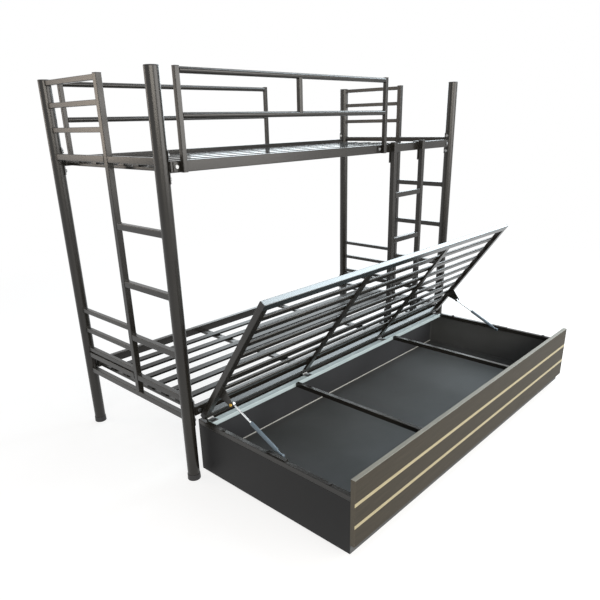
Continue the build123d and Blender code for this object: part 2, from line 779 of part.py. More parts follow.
wheel_bore = axle_diameter / 2 + running_fit
half_wheel = wheel_width / 2
for wheel_name, (x, y) in zip(("front_left_wheel", "rear_left_wheel", "front_right_wheel", "rear_right_wheel"),
                              castors):
    with BuildPart() as wheel:
        with BuildSketch(Plane(origin=(x, y, wheel_radius), x_dir=(1, 0, 0), z_dir=(0, -1, 0))):
            with BuildLine():
                Polyline((-half_wheel, wheel_bore), (-half_wheel, wheel_radius), (half_wheel, wheel_radius),
                         (half_wheel, wheel_bore), close=True)
            make_face()
        revolve(axis=Axis((x, y, wheel_radius), (1, 0, 0)))
    keep(wheel, wheel_name)

# Lid: built on a plane through the hinge axis; closed, that plane is level with the underside of the lid
tilt = radians(lid_angle)
lid_plane = Plane(origin=(0, hinge_y, hinge_z), x_dir=(1, 0, 0), z_dir=(0, sin(tilt), cos(tilt)))


def lid_section_x(x):
    return Plane(origin=lid_plane.from_local_coords((x, 0, 0)), x_dir=lid_plane.y_dir, z_dir=(1, 0, 0))


def lid_section_y(y):
    return Plane(origin=lid_plane.from_local_coords((0, y, 0)), x_dir=(1, 0, 0), z_dir=-lid_plane.y_dir)


lid_rear = -hinge_setback
lid_front = -lid_depth
lid_reach = half_box - plug_head
lid_rails_y = (lid_front + lid_rail_width / 2, lid_rear - lid_rail_width / 2)
with BuildPart() as lid_long_rails:
    with BuildSketch(lid_section_x(-lid_reach)):
        with Locations(*[(y, lid_rail_height / 2) for y in lid_rails_y]):
            tube_profile(lid_rail_width, lid_rail_height, tube_wall, tube_corner)
    extrude(amount=2 * lid_reach)
keep(lid_long_rails, "lid_long_rails")

with BuildPart() as lid_caps:
    for side in (-1, 1):
        for y in lid_rails_y:
            head = Plane(origin=lid_plane.from_local_coords((side * lid_reach, y, lid_rail_height / 2)),
                         x_dir=lid_plane.y_dir, z_dir=(side, 0, 0))
            with BuildSketch(head):
                cut_corners(lid_rail_width, lid_rail_height, tube_corner)
            extrude(amount=plug_head)
            with BuildSketch(head):
                Rectangle(lid_rail_width - 2 * (tube_wall + plug_play),
                          lid_rail_height - 2 * (tube_wall + plug_play))
            extrude(amount=-plug_depth)
keep(lid_caps, "lid_caps")

inner_rear = lid_rear - lid_rail_width - weld_gap
inner_front = lid_front + lid_rail_width + weld_gap
end_rail_x = half_box - lid_rail_width / 2
with BuildPart() as lid_end_rails:
    with BuildSketch(lid_section_y(inner_rear)):
        with Locations((-end_rail_x, lid_rail_height / 2), (end_rail_x, lid_rail_height / 2)):
            tube_profile(lid_rail_width, lid_rail_height, tube_wall, tube_corner)
    extrude(amount=inner_rear - inner_front)
keep(lid_end_rails, "lid_end_rails")

bar_drop = 1.0
lid_bar_x = box_length / 6
lid_bar_level = bar_drop + lid_bar_thickness / 2
with BuildPart() as lid_cross_bars:
    with BuildSketch(lid_section_y(inner_rear)):
        with Locations((-lid_bar_x, lid_bar_level), (lid_bar_x, lid_bar_level)):
            tube_profile(lid_rail_width, lid_bar_thickness, slat_wall, slat_corner)
    extrude(amount=inner_rear - inner_front)
keep(lid_cross_bars, "lid_cross_bars")

lid_slat_reach = half_box - lid_rail_width - strut_bracket_thickness - weld_gap
lid_slat_level = bar_drop + lid_bar_thickness + weld_gap + lid_slat_thickness / 2
lid_slat_step = (inner_rear - inner_front) / (lid_slat_count + 1)
with BuildPart() as lid_slats:
    with BuildSketch(lid_section_x(-lid_slat_reach)):
        with Locations(*[(inner_rear - (i + 1) * lid_slat_step, lid_slat_level) for i in range(lid_slat_count)]):
            tube_profile(lid_slat_width, lid_slat_thickness, slat_wall, slat_corner)
    extrude(amount=2 * lid_slat_reach)
keep(lid_slats, "lid_slats")

# Hinges: a leaf on the hinge rail, a leaf on the back of the lid, three knuckles on one pin
leaf_margin = 2.0
end_hinge_x = half_box - rim_size - hinge_width / 2 - leaf_margin
hinges_x = (-end_hinge_x, -lid_bar_x, lid_bar_x, end_hinge_x)
knuckle_radius = knuckle_diameter / 2
outer_knuckle = (hinge_width - hinge_width / 3) / 2 - knuckle_gap / 2
middle_knuckle = hinge_width - 2 * outer_knuckle - 2 * knuckle_gap
pin_bore = hinge_pin_diameter / 2 + running_fit


def cut_barrel(x, width, section):
    with BuildSketch(section(x - width / 2)) as ring:
        Circle(knuckle_radius + knuckle_gap)
    extrude(ring.sketch, amount=width, mode=Mode.SUBTRACT)


def add_barrel(x, width, section):
    with BuildSketch(section(x - width / 2)) as ring:
        Circle(knuckle_radius)
    extrude(ring.sketch, amount=width)


def bore_barrel(x, section):
    with BuildSketch(section(x - hinge_width / 2)) as ring:
        Circle(pin_bore)
    extrude(ring.sketch, amount=hinge_width, mode=Mode.SUBTRACT)


def hinge_section(x):
    return Plane(origin=(x, hinge_y, hinge_z), x_dir=(0, 1, 0), z_dir=(1, 0, 0))


with BuildPart() as hinge_box_leaves:
    for x in hinges_x:
        with BuildSketch(hinge_section(x - hinge_width / 2)):
            with Locations((0, -lid_rise)):
                Rectangle(hinge_setback + hinge_rail_width - leaf_margin, hinge_leaf, align=(Align.MAX, Align.MIN))
        extrude(amount=hinge_width)
        cut_barrel(x, middle_knuckle + 2 * knuckle_gap, hinge_section)
        for side in (-1, 1):
            add_barrel(x + side * (hinge_width - outer_knuckle) / 2, outer_knuckle, hinge_section)
        bore_barrel(x, hinge_section)
keep(hinge_box_leaves, "hinge_box_leaves")

with BuildPart() as hinge_lid_leaves:
    for x in hinges_x:
        with BuildSketch(lid_section_x(x - hinge_width / 2)):
            with Locations((-hinge_setback, leaf_margin)):
                Rectangle(hinge_leaf, lid_rail_height - 2 * leaf_margin, align=(Align.MIN, Align.MIN))
                Rectangle(hinge_setback, hinge_leaf - leaf_margin / 2, align=(Align.MIN, Align.MIN))
        extrude(amount=hinge_width)
        for side in (-1, 1):
            cut_barrel(x + side * (hinge_width + middle_knuckle) / 2, hinge_width, lid_section_x)
        add_barrel(x, middle_knuckle, lid_section_x)
        bore_barrel(x, lid_section_x)
keep(hinge_lid_leaves, "hinge_lid_leaves")

pin_overhang = 1.0
with BuildPart() as hinge_pins:
    for x in hinges_x:
        with BuildSketch(hinge_section(x - hinge_width / 2 - pin_overhang)):
            Circle(hinge_pin_diameter / 2)
        extrude(amount=hinge_width + 2 * pin_overhang)
keep(hinge_pins, "hinge_pins")

# Gas struts: built on the left side and mirrored to the right
foot_y = hinge_y - strut_foot_setback
foot_z = rim_level - strut_foot_drop
top_point = lid_plane.from_local_coords((0, -strut_top_run, -strut_top_drop))
reach_y = top_point.Y - foot_y
reach_z = top_point.Z - foot_z
strut_length = hypot(reach_y, reach_z)
shut_y = hinge_y - strut_top_run - foot_y
shut_z = hinge_z - strut_top_drop - foot_z
print("strut open", round(strut_length, 3), round(degrees(atan2(reach_z, reach_y)), 4),
      "shut", round(hypot(shut_y, shut_z), 3), round(degrees(atan2(shut_z, shut_y)), 4))
strut_direction = (0, reach_y / strut_length, reach_z / strut_length)
strut_plane = Plane(origin=(-strut_line, foot_y, foot_z), x_dir=strut_direction, z_dir=(1, 0, 0))
strut_axis = Axis((-strut_line, foot_y, foot_z), strut_direction)
eye_radius = eye_diameter / 2
eye_start = eye_radius / 2
pin_radius = strut_pin_diameter / 2
half_eye = eye_thickness / 2
tube_end = fitting_length + cylinder_length
bore_radius = cylinder_diameter / 2 - cylinder_wall
neck_radius = eye_neck_diameter / 2
rod_radius = rod_diameter / 2
cylinder_crown = 2.0
bracket_face = half_box - lid_rail_width - strut_bracket_thickness


def add_eye(centre):
    with BuildSketch(strut_plane.offset(-half_eye)) as eye:
        with Locations((centre, 0)):
            Circle(eye_radius)
    extrude(eye.sketch, amount=eye_thickness)


with BuildPart() as left_cylinder:
    with BuildSketch(strut_plane):
        with BuildLine():
            Polyline((eye_start, 0), (eye_start, neck_radius), (fitting_length, neck_radius),
                     (fitting_length, cylinder_diameter / 2 - cylinder_crown),
                     (fitting_length + cylinder_crown, cylinder_diameter / 2),
                     (tube_end - cylinder_crown, cylinder_diameter / 2),
                     (tube_end, cylinder_diameter / 2 - cylinder_crown), (tube_end, rod_radius + running_fit),
                     (tube_end - gland_length, rod_radius + running_fit), (tube_end - gland_length, bore_radius),
                     (fitting_length + gland_length, bore_radius), (fitting_length + gland_length, 0),
                     close=True)
        make_face()
    revolve(axis=strut_axis)
    add_eye(0)
    with BuildSketch(strut_plane.offset(-half_eye)):
        Circle(pin_radius + running_fit)
    extrude(amount=eye_thickness, mode=Mode.SUBTRACT)
keep(left_cylinder, "left_strut_cylinder")

piston_start = tube_end - gland_length - piston_length - cylinder_crown
with BuildPart() as left_rod:
    with BuildSketch(strut_plane):
        with BuildLine():
            Polyline((piston_start, 0), (piston_start, bore_radius - running_fit),
                     (piston_start + piston_length, bore_radius - running_fit),
                     (piston_start + piston_length, rod_radius), (strut_length - eye_start, rod_radius),
                     (strut_length - eye_start, 0), close=True)
        make_face()
    revolve(axis=strut_axis)
    add_eye(strut_length)
    with BuildSketch(strut_plane.offset(-half_eye)):
        with Locations((strut_length, 0)):
            Circle(pin_radius)
    extrude(amount=strut_line + half_eye + open_pivot_gap - bracket_face)
keep(left_rod, "left_strut_rod")

with BuildPart() as right_cylinder:
    mirror(left_cylinder.part, about=Plane.YZ)
keep(right_cylinder, "right_strut_cylinder")
with BuildPart() as right_rod:
    mirror(left_rod.part, about=Plane.YZ)
keep(right_rod, "right_strut_rod")

# Strut foot brackets: angles over the inner edges of the side rims, with a pin through the lower eye
foot_plate_face = half_box - rim_size - strut_bracket_thickness
foot_bracket_height = rim_size - foot_bracket_margin + strut_bracket_thickness
with BuildPart() as strut_foot_brackets:
    with BuildSketch(plane_at_x(-foot_plate_face)):
        with Locations((foot_y, rim_bottom + foot_bracket_margin)):
            Rectangle(strut_foot_length, foot_bracket_height, align=(Align.CENTER, Align.MIN))
    extrude(amount=-strut_bracket_thickness)
    with BuildSketch(Plane.XY.offset(rim_level)):
        with Locations((-foot_plate_face - strut_bracket_thickness, foot_y)):
            Rectangle(foot_flange_width, strut_foot_length, align=(Align.MAX, Align.CENTER))
    extrude(amount=strut_bracket_thickness)
    with BuildSketch(plane_at_x(-foot_plate_face)):
        with Locations((foot_y, foot_z)):
            Circle(strut_collar_diameter / 2)
    extrude(amount=foot_plate_face - strut_line - half_eye - weld_gap)
    with BuildSketch(plane_at_x(-foot_plate_face)):
        with Locations((foot_y, foot_z)):
            Circle(pin_radius)
    extrude(amount=foot_plate_face - strut_line + half_eye + weld_gap)
    with BuildSketch(plane_at_x(-strut_line + half_eye + weld_gap)):
        with Locations((foot_y, foot_z)):
            Circle(strut_collar_diameter / 2)
    extrude(amount=strut_collar_height)
    mirror(about=Plane.YZ)
keep(strut_foot_brackets, "strut_foot_brackets")

# Strut top brackets: tapered plates on the inner faces of the lid's end rails, with a bolt in each
lug_radius = 11.0
lug_width = 60.0
top_bolt_height = 4.0
lid_section = lid_section_x(-bracket_face)
with BuildPart() as strut_top_brackets:
    with BuildSketch(lid_section):
        with BuildLine():
            Polyline((-strut_top_run - lug_width / 2, lid_rail_height - leaf_margin),
                     (-strut_top_run + lug_width / 2, lid_rail_height - leaf_margin),
                     (-strut_top_run + lug_width / 2, 0), (-strut_top_run + lug_radius, -strut_top_drop),
                     (-strut_top_run - lug_radius, -strut_top_drop), (-strut_top_run - lug_width / 2, 0),
                     close=True)
        make_face()
        with Locations((-strut_top_run, -strut_top_drop)):
            Circle(lug_radius)
            Circle(pin_radius + weld_gap, mode=Mode.SUBTRACT)
    extrude(amount=-strut_bracket_thickness)
    mirror(about=Plane.YZ)
keep(strut_top_brackets, "strut_top_brackets")

with BuildPart() as strut_top_bolts:
    with BuildSketch(lid_section):
        with Locations((-strut_top_run, -strut_top_drop)):
            Circle(pin_radius)
    extrude(amount=-strut_bracket_thickness)
    with BuildSketch(lid_section.offset(-strut_bracket_thickness)):
        with Locations((-strut_top_run, -strut_top_drop)):
            RegularPolygon(bolt_head_width / 2, 6, major_radius=False)
    extrude(amount=-top_bolt_height)
    mirror(about=Plane.YZ)
keep(strut_top_bolts, "strut_top_bolts")
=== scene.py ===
# %% [markdown]
# # Dressing a bunk bed with a roll-out storage box
# The bed, its ladder, the box and the box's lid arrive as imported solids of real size.
# This lesson gives them what the eye expects: smooth round posts, rounded tube corners,
# weld beads, bolt heads, satin paint, and soft light on a pale floor.

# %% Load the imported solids
import json
import math
import bmesh
import bpy
from mathutils import Matrix, Vector


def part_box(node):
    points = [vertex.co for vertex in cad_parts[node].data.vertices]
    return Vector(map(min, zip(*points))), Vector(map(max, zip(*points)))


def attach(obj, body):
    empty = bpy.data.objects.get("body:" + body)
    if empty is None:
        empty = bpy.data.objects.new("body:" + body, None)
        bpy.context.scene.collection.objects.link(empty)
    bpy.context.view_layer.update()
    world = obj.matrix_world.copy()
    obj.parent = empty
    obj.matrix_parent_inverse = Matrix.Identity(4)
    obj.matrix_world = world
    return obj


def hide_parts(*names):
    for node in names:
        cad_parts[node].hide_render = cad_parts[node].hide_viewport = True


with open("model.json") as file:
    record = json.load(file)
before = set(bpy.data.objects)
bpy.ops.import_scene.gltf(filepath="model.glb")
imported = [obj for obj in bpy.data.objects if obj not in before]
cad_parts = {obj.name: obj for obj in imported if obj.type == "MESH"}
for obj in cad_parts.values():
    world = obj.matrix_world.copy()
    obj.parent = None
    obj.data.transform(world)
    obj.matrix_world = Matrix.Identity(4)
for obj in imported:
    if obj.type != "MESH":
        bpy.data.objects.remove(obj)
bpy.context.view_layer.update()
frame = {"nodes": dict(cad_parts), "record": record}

# %% [markdown]
# ## Looking through the same lens
# The camera stands in front of the left end of the bed, a little above the upper deck, and
# looks down at it. The lens is a mild wide angle. The picture was cut out of a larger one, so
# the middle of the lens isn't the middle of the picture: a small shift says that without
# turning the camera.

# %% Camera
CAMERA_PLACE = (-2.17873, -1.75948, 1.40914)
CAMERA_TURN = (68.7095, 1.3375, -47.1310)
LENS_MM = 34.336
SENSOR_MM = 36.0
LENS_SHIFT = (0.00106, 0.07227)

bpy.ops.object.camera_add(location=CAMERA_PLACE, rotation=[math.radians(a) for a in CAMERA_TURN])
camera = bpy.context.object
camera.name = "camera"
camera.data.lens = LENS_MM
camera.data.sensor_width = SENSOR_MM
camera.data.shift_x, camera.data.shift_y = LENS_SHIFT
bpy.context.scene.camera = camera
print("camera at", CAMERA_PLACE)

# %% [markdown]
# ## Small helpers
# Every operator acts on what is selected, and loading leaves all solids selected, so each step
# starts by deselecting. `finish_place` bakes a piece's place into its mesh, so that its object
# sits at the origin, where patterns on Object coordinates stay put. `settle_normals` smooths
# what is nearly flat and lets large faces decide the shading, so that flats look flat.

# %% Selecting, joining and placing
MM = 0.001


def pick(*pieces):
    bpy.ops.object.select_all(action="DESELECT")
    for piece in pieces:
        piece.select_set(True)
    bpy.context.view_layer.objects.active = pieces[0]


def enter_edit(kind):
    bpy.ops.object.mode_set(mode="EDIT")
    bpy.ops.mesh.select_mode(type=kind)
    bpy.ops.mesh.select_all(action="DESELECT")


def leave_edit():
    bpy.ops.object.mode_set(mode="OBJECT")


def finish_place(piece):
    pick(piece)
    bpy.ops.object.transform_apply(location=True, rotation=True, scale=True)


def join(pieces, name):
    pick(*pieces)
    if len(pieces) > 1:
        bpy.ops.object.join()
    piece = bpy.context.view_layer.objects.active
    piece.name = name
    piece.data.name = name
    finish_place(piece)
    return piece


def new_piece(name, mesh):
    piece = bpy.data.objects.new(name, mesh.copy())
    bpy.context.scene.collection.objects.link(piece)
    return piece


def apply_modifier(piece, kind, **settings):
    pick(piece)
    modifier = piece.modifiers.new(kind.lower(), kind)
    for key, value in settings.items():
        setattr(modifier, key, value)
    bpy.ops.object.modifier_apply(modifier=modifier.name)


def settle_normals(piece, degrees=60):
    pick(piece)
    bpy.ops.object.shade_smooth_by_angle(angle=math.radians(degrees))
    apply_modifier(piece, "WEIGHTED_NORMAL", keep_sharp=True, weight=80)


print("one unit is a metre, one MM is", MM)

# %% [markdown]
# ## Painted steel, gloss sheet, board and plastic
# A material starts from what it really is. One function turns sRGB hex colours to the linear
# values that the shader wants, and one adds a node with its settings and links. All the finishes
# here share `colour_and_relief`: one pattern runs the colour from a dark to a light tone, and one
# raises the surface by a real height.

# %% Colour and node helpers
def linear(hex_colour):
    parts = [int(hex_colour[i:i + 2], 16) / 255 for i in (0, 2, 4)]
    return [p / 12.92 if p <= 0.04045 else ((p + 0.055) / 1.055) ** 2.4 for p in parts] + [1.0]


def add_node(tree, kind, settings=None, links=None):
    node = tree.nodes.new(kind)
    for key, value in (settings or {}).items():
        if key in node.inputs and not hasattr(node, key):
            node.inputs[key].default_value = value
        else:
            setattr(node, key, value)
    for socket, source in (links or {}).items():
        tree.links.new(source, node.inputs[socket])
    return node


def new_material(name, **sockets):
    material = bpy.data.materials.new(name)
    material.use_nodes = True
    shader = material.node_tree.nodes["Principled BSDF"]
    for key, value in sockets.items():
        shader.inputs[key.replace("_", " ")].default_value = value
    return material, material.node_tree, shader


def colour_and_relief(tree, shader, tone, dark, light, margin, relief, strength, height_mm):
    tint = add_node(tree, "ShaderNodeValToRGB", links={"Fac": tone.outputs["Fac"]})
    low_end, high_end = tint.color_ramp.elements
    low_end.position, low_end.color = margin, linear(dark)
    high_end.position, high_end.color = 1 - margin, linear(light)
    bump = add_node(tree, "ShaderNodeBump", {"Strength": strength, "Distance": height_mm * MM},
                    {"Height": relief.outputs["Fac"]})
    tree.links.new(tint.outputs["Color"], shader.inputs["Base Color"])
    tree.links.new(bump.outputs["Normal"], shader.inputs["Normal"])


print("mid grey", linear("808080")[0])

# %% [markdown]
# ### Powder coat on steel
# The frame is powder coated: a black paint that is sprayed dry and melted in an oven. The paint
# itself is nearly black with a warm cast, and what makes it read as a dark grey is its gloss: it
# mirrors the bright surroundings a little when seen face on and strongly along the tops, where
# the eye skims them. So the base stays dark and the roughness low. A faint orange peel, a few
# millimetres wide, breaks the mirror. The colour drifts over a third of a metre, as an oven
# leaves it. The patterns read Object coordinates in metres, so a scale of 1 / 0.004 is 4 mm.
# Coats differ in gloss: with a higher IOR a coat mirrors more, and with a lower one less.

# %% Powder coat
CLOUD_M = 0.35


def powder_coat(name, dark, light, roughness, peel_mm, peel_height, ior=1.5):
    material, tree, shader = new_material(name, Roughness=roughness, IOR=ior)
    place = add_node(tree, "ShaderNodeTexCoord").outputs["Object"]
    cloud = add_node(tree, "ShaderNodeTexNoise", {"Scale": 1 / CLOUD_M, "Detail": 4.0},
                     {"Vector": place})
    peel = add_node(tree, "ShaderNodeTexNoise", {"Scale": 1 / (peel_mm * MM), "Detail": 1.0},
                    {"Vector": place})
    colour_and_relief(tree, shader, cloud, dark, light, 0.35, peel, 0.25, peel_height)
    return material


# Satin black on the frame: long soft highlights down the posts.
frame_paint = powder_coat("powder_coat_black", "171512", "22201c", 0.26, 4.0, 0.08, 1.48)
# The upper slats take the sky nearly as a mirror does. The lower ones get a duller coat that
# mirrors less: painted shade, as they lie under the upper deck.
upper_slat_paint = powder_coat("powder_coat_slats_gloss", "0f0e0c", "191815", 0.1, 4.0, 0.04, 1.45)
slats_below_painted_shade = powder_coat("powder_coat_slats_painted_shade", "0f0e0c", "191815", 0.32, 4.0, 0.08, 1.3)
# The lid's front rail gets a bluer, lighter colour and a higher IOR than any other tube:
# a painted highlight, standing for the sky it mirrors.
lid_rail_painted_highlight = powder_coat("powder_coat_lid_rail_painted_highlight", "1b2123", "262d2f", 0.24, 4.0, 0.08, 1.75)
# Sheet has a more matt coat than tube, and its long waves are those of thin sheet: slate inside
# the box and black outside. The rear wall's darker slate is painted shade.
sheet_paint = powder_coat("sheet_coat_slate", "3e4040", "4a4c4d", 0.65, 60.0, 0.6)
rear_wall_painted_shade = powder_coat("rear_wall_coat_painted_shade", "2a2c2f", "323438", 0.65, 60.0, 0.6)
outer_sheet_paint = powder_coat("sheet_coat_black", "0e0e0f", "161617", 0.5, 60.0, 0.6, 1.33)
print("made", frame_paint.name, sheet_paint.name)

# %% [markdown]
# ### Other finishes
# Moulded nylon, plated steel, chrome, laminate board and its pale inlays have one grain each,
# which gives both the colour and the relief. A stretched grain runs along a piece, as print on
# board and polishing marks on a rod do. Grains finer than a millimetre wouldn't show, so they
# are drawn a few millimetres wide.

# %% Plain finishes with a fine grain
ALONG_X = (0.1, 1, 1)
FAR_ALONG_X = (0.05, 1, 1)
ALONG_YZ = (1, 0.1, 0.1)


def grained(name, dark, light, grain_mm, height_mm, stretch=(1, 1, 1), **sockets):
    material, tree, shader = new_material(name, **sockets)
    place = add_node(tree, "ShaderNodeTexCoord")
    turn = add_node(tree, "ShaderNodeMapping", {"Scale": stretch},
                    {"Vector": place.outputs["Object"]})
    grain = add_node(tree, "ShaderNodeTexNoise", {"Scale": 1 / (grain_mm * MM), "Detail": 3.0},
                     {"Vector": turn.outputs["Vector"]})
    colour_and_relief(tree, shader, grain, dark, light, 0.3, grain, 0.3, height_mm)
    return material


# Moulded caps, glides and wheels: soft broad highlights on a fine spark-eroded grain.
black_plastic = grained("moulded_nylon_black", "1c1c1d", "262627", 1.5, 0.05, Roughness=0.5)
wheel_plastic = grained("wheel_nylon_grey", "17181a", "222326", 2.0, 0.05, Roughness=0.45)
rubber = grained("rubber_black", "1f1f20", "2a2a2b", 1.0, 0.05, Roughness=0.7)
# Plated bolts, screws, hinges and forks: grey and golden zinc, cloudy as plating is. The struts'
# rods are chrome, bright and nearly without a pattern.
zinc = grained("zinc_plated_steel", "8d8f90", "a5a7a8", 2.0, 0.03, Metallic=1.0, Roughness=0.35)
yellow_zinc = grained("yellow_zinc", "b9933f", "d3ad57", 2.0, 0.02, Metallic=1.0, Roughness=0.3)
chrome = grained("hard_chrome", "dfe2e4", "eceeef", 8.0, 0.005, ALONG_YZ,
                 Metallic=1.0, Roughness=0.08)
# The struts' cylinders are lacquered blue grey. The strip under the hinges gets a pale blue
# colour: a painted reflection of the sky.
strut_paint = grained("strut_lacquer", "53616d", "62707c", 3.0, 0.02, Roughness=0.3)
strip_painted_reflection = grained("hinge_strip_painted_sky_reflection", "b3c4ca", "c6d6da", 12.0, 0.03, ALONG_X, Roughness=0.4)
# The board: a dull dark printed face, lighter bands on its ends and pale inlays. Its top face is
# a grey band painted lighter: a painted highlight.
board_face = grained("laminate_taupe", "282318", "342e22", 6.0, 0.05, FAR_ALONG_X,
                     Roughness=0.6, IOR=1.38)
board_edge = grained("laminate_edge_band", "3e392e", "4a4438", 3.0, 0.05, Roughness=0.6)
board_top_band_and_highlight = grained("laminate_top_band_painted_highlight", "74726a", "828076", 6.0, 0.05, FAR_ALONG_X,
                    Roughness=0.45)
inlay = grained("inlay_cream", "9e9474", "aca281", 5.0, 0.03, ALONG_X, Roughness=0.5)
# A pale colour, a little uneven, for the bright line along the box's rear fold: a painted
# highlight.
seam_highlight_paint = grained("seam_painted_highlight", "cbcdc9", "dfe0dc", 9.0, 0.1, Roughness=0.5)
print("plain finishes ready")

# %% [markdown]
# ### From imported solids to pieces
# Each imported node is a set of loose solids. `islands` reads them from a merged copy of the mesh
# and gives the corners of each one, and `boxes_of` gives each one's middle and size. `dress`
# gives a finished piece its paint, hangs it on the empty of the body it rides on and hides the
# node it stands for. The lid was packed open, so its pieces are made shut and then turned.

# %% Reading solids and dressing pieces
FINISH = {"frame_paint": frame_paint, "box_paint": sheet_paint, "black_plastic": black_plastic,
          "zinc_steel": zinc, "board": board_face, "stripe": inlay, "rubber": rubber,
          "wheel_plastic": wheel_plastic, "strut_black": strut_paint, "strut_chrome": chrome,
          "golden_steel": yellow_zinc}
SLOT = {part["node"]: part["material_slot"] for part in frame["record"]["subparts"]}
BODY = {node: body for body, nodes in frame["record"]["behaviour"]["bodies"].items()
        for node in nodes}
MERGE = 0.01 * MM
LID_OPENING = math.radians(55)
HINGE = Vector((0, -24.2 * MM, 259 * MM))
LID_TURN = (Matrix.Translation(HINGE) @ Matrix.Rotation(-LID_OPENING, 4, "X")
            @ Matrix.Translation(-HINGE))


def middle(corners):
    return sum(corners, Vector()) / len(corners)


def islands(node, turn=None):
    thing = frame["nodes"][node]
    mesh = bmesh.new()
    mesh.from_mesh(thing.data)
    mesh.transform(thing.matrix_world)
    if turn:
        mesh.transform(turn.inverted())
    bmesh.ops.remove_doubles(mesh, verts=mesh.verts, dist=MERGE)
    left, found = set(mesh.verts), []
    while left:
        group, edge_of_group = set(), [left.pop()]
        while edge_of_group:
            corner = edge_of_group.pop()
            group.add(corner)
            for edge in corner.link_edges:
                other = edge.other_vert(corner)
                if other in left:
                    left.remove(other)
                    edge_of_group.append(other)
        found.append([corner.co.copy() for corner in group])
    mesh.free()
    return sorted(found, key=lambda corners: tuple(round(v, 4) for v in middle(corners)))


def box_of(corners):
    low = Vector([min(c[i] for c in corners) for i in range(3)])
    high = Vector([max(c[i] for c in corners) for i in range(3)])
    return (low + high) / 2, high - low


def boxes_of(node, turn=None):
    return [box_of(corners) for corners in islands(node, turn)]


def dress(piece, *nodes):
    piece.data.materials.clear()
    piece.data.materials.append(FINISH[SLOT[nodes[0]]])
    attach(piece, BODY[nodes[0]])
    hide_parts(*nodes)
    return piece


# %% [markdown]
# ## Tubes with rounded corners
# Rectangular steel tube is rolled from strip and welded shut, so its long edges are round, about
# 2 mm on thin tube, and its cut ends are sharp. A cube scaled to the real size with only its
# long edges bevelled is exactly that. All tubes of a node are bevelled in one go, then weighted
# normals keep the flats flat. The numbers in BARS are the corners' radii in millimetres.

# %% Square and flat tubes
def cubes(boxes, name):
    pieces = []
    for centre, size in boxes:
        bpy.ops.mesh.primitive_cube_add(size=1, location=centre)
        bpy.context.object.scale = size
        pieces.append(bpy.context.object)
    return join(pieces, name)


def bevel_edges(piece, wanted, offset_mm, segments):
    pick(piece)
    enter_edit("EDGE")
    leave_edit()
    corners = piece.data.vertices
    for edge in piece.data.edges:
        edge.select = wanted(corners[edge.vertices[0]].co, corners[edge.vertices[1]].co)
    bpy.ops.object.mode_set(mode="EDIT")
    bpy.ops.mesh.bevel(offset=offset_mm * MM, segments=segments, affect="EDGES")
    leave_edit()


def make_bars(name, boxes, corner_mm, turn=None):
    piece = cubes(boxes, name)
    lengths = {round(max(size), 5) for _, size in boxes}
    bevel_edges(piece, lambda a, b: round((a - b).length, 5) in lengths, corner_mm, 3)
    if turn:
        piece.matrix_world = turn
        finish_place(piece)
    settle_normals(piece)
    return piece


BARS = {"bed": {"mid_stiles": 2.6, "upper_end_rails": 2.6, "lower_end_rails": 2.6,
                "bottom_crossbars": 2.6, "upper_end_guards": 2.2, "lower_end_guards": 2.2,
                "end_rungs": 2.6, "upper_side_rails": 2.6, "lower_side_rails": 2.6,
                "deck_cross_bars": 1.6, "upper_slats": 1.6, "lower_slats": 1.6},
        "ladder": {"ladder_stiles": 2.6, "ladder_rungs": 2.6},
        "storage_box": {"box_side_rims": 2.2, "box_long_rims": 2.2, "box_cross_tubes": 2.0,
                        "box_floor_bearers": 1.6},
        "lid": {"lid_long_rails": 2.6, "lid_end_rails": 2.6, "lid_cross_bars": 1.6,
                "lid_slats": 4.6}}
for body, tubes in BARS.items():
    turn = LID_TURN if body == "lid" else None
    for node, corner in tubes.items():
        dress(make_bars("tube_" + node, boxes_of(node, turn), corner, turn), node)
    print(body, "tubes", len(tubes))

# %% [markdown]
# ## Tubes that shine differently
# A tube looks pale or dark by what it mirrors. The upper slats mirror the sky. The lower ones lie
# in the shade of the upper deck, and their duller coat is painted shade. The lid's front rail gets
# a lighter, bluer coat: a painted highlight along its whole length. The strip that carries the
# hinges gets a pale blue colour: a painted reflection of the sky.
# Faces are found by their place: the lid's front rail is the one far from the hinge, and of the
# box's three long rims the strip is the one that lies between 30 and 62 mm in front of the posts.

# %% Coats of single tubes
LID_FRONT_REACH = 0.5
STRIP_FRONT, STRIP_REAR = -62 * MM, -30 * MM


def coat_faces(piece, coat, wanted):
    piece.data.materials.append(coat)
    index = len(piece.data.materials) - 1
    faces = [face for face in piece.data.polygons if wanted(face)]
    for face in faces:
        face.material_index = index
    print(coat.name, "on", len(faces), "faces")


bpy.data.objects["tube_upper_slats"].data.materials[0] = upper_slat_paint
# The lower slats' duller coat is painted shade.
bpy.data.objects["tube_lower_slats"].data.materials[0] = slats_below_painted_shade
# The lid's front rail takes its painted highlight, and the hinge strip its painted reflection.
coat_faces(bpy.data.objects["tube_lid_long_rails"], lid_rail_painted_highlight,
           lambda face: (face.center - HINGE).yz.length > LID_FRONT_REACH)
coat_faces(bpy.data.objects["tube_box_long_rims"], strip_painted_reflection,
           lambda face: STRIP_FRONT < face.center.y < STRIP_REAR)

# %% [markdown]
# ## Round posts and guard bars
# The posts are 2 inch round tube and the guards' long bars are thinner round tube. A cylinder of
# 96 sides reads as round at any distance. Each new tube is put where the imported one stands, with
# the same radius and length, and its two rims are broken. In a guard, what is over a metre long
# is a round bar, and the rest are square uprights.

# %% Round tubes
UP, ALONG = 2, 0
LONG_BAR = 1.0
RIM_MM = 0.6


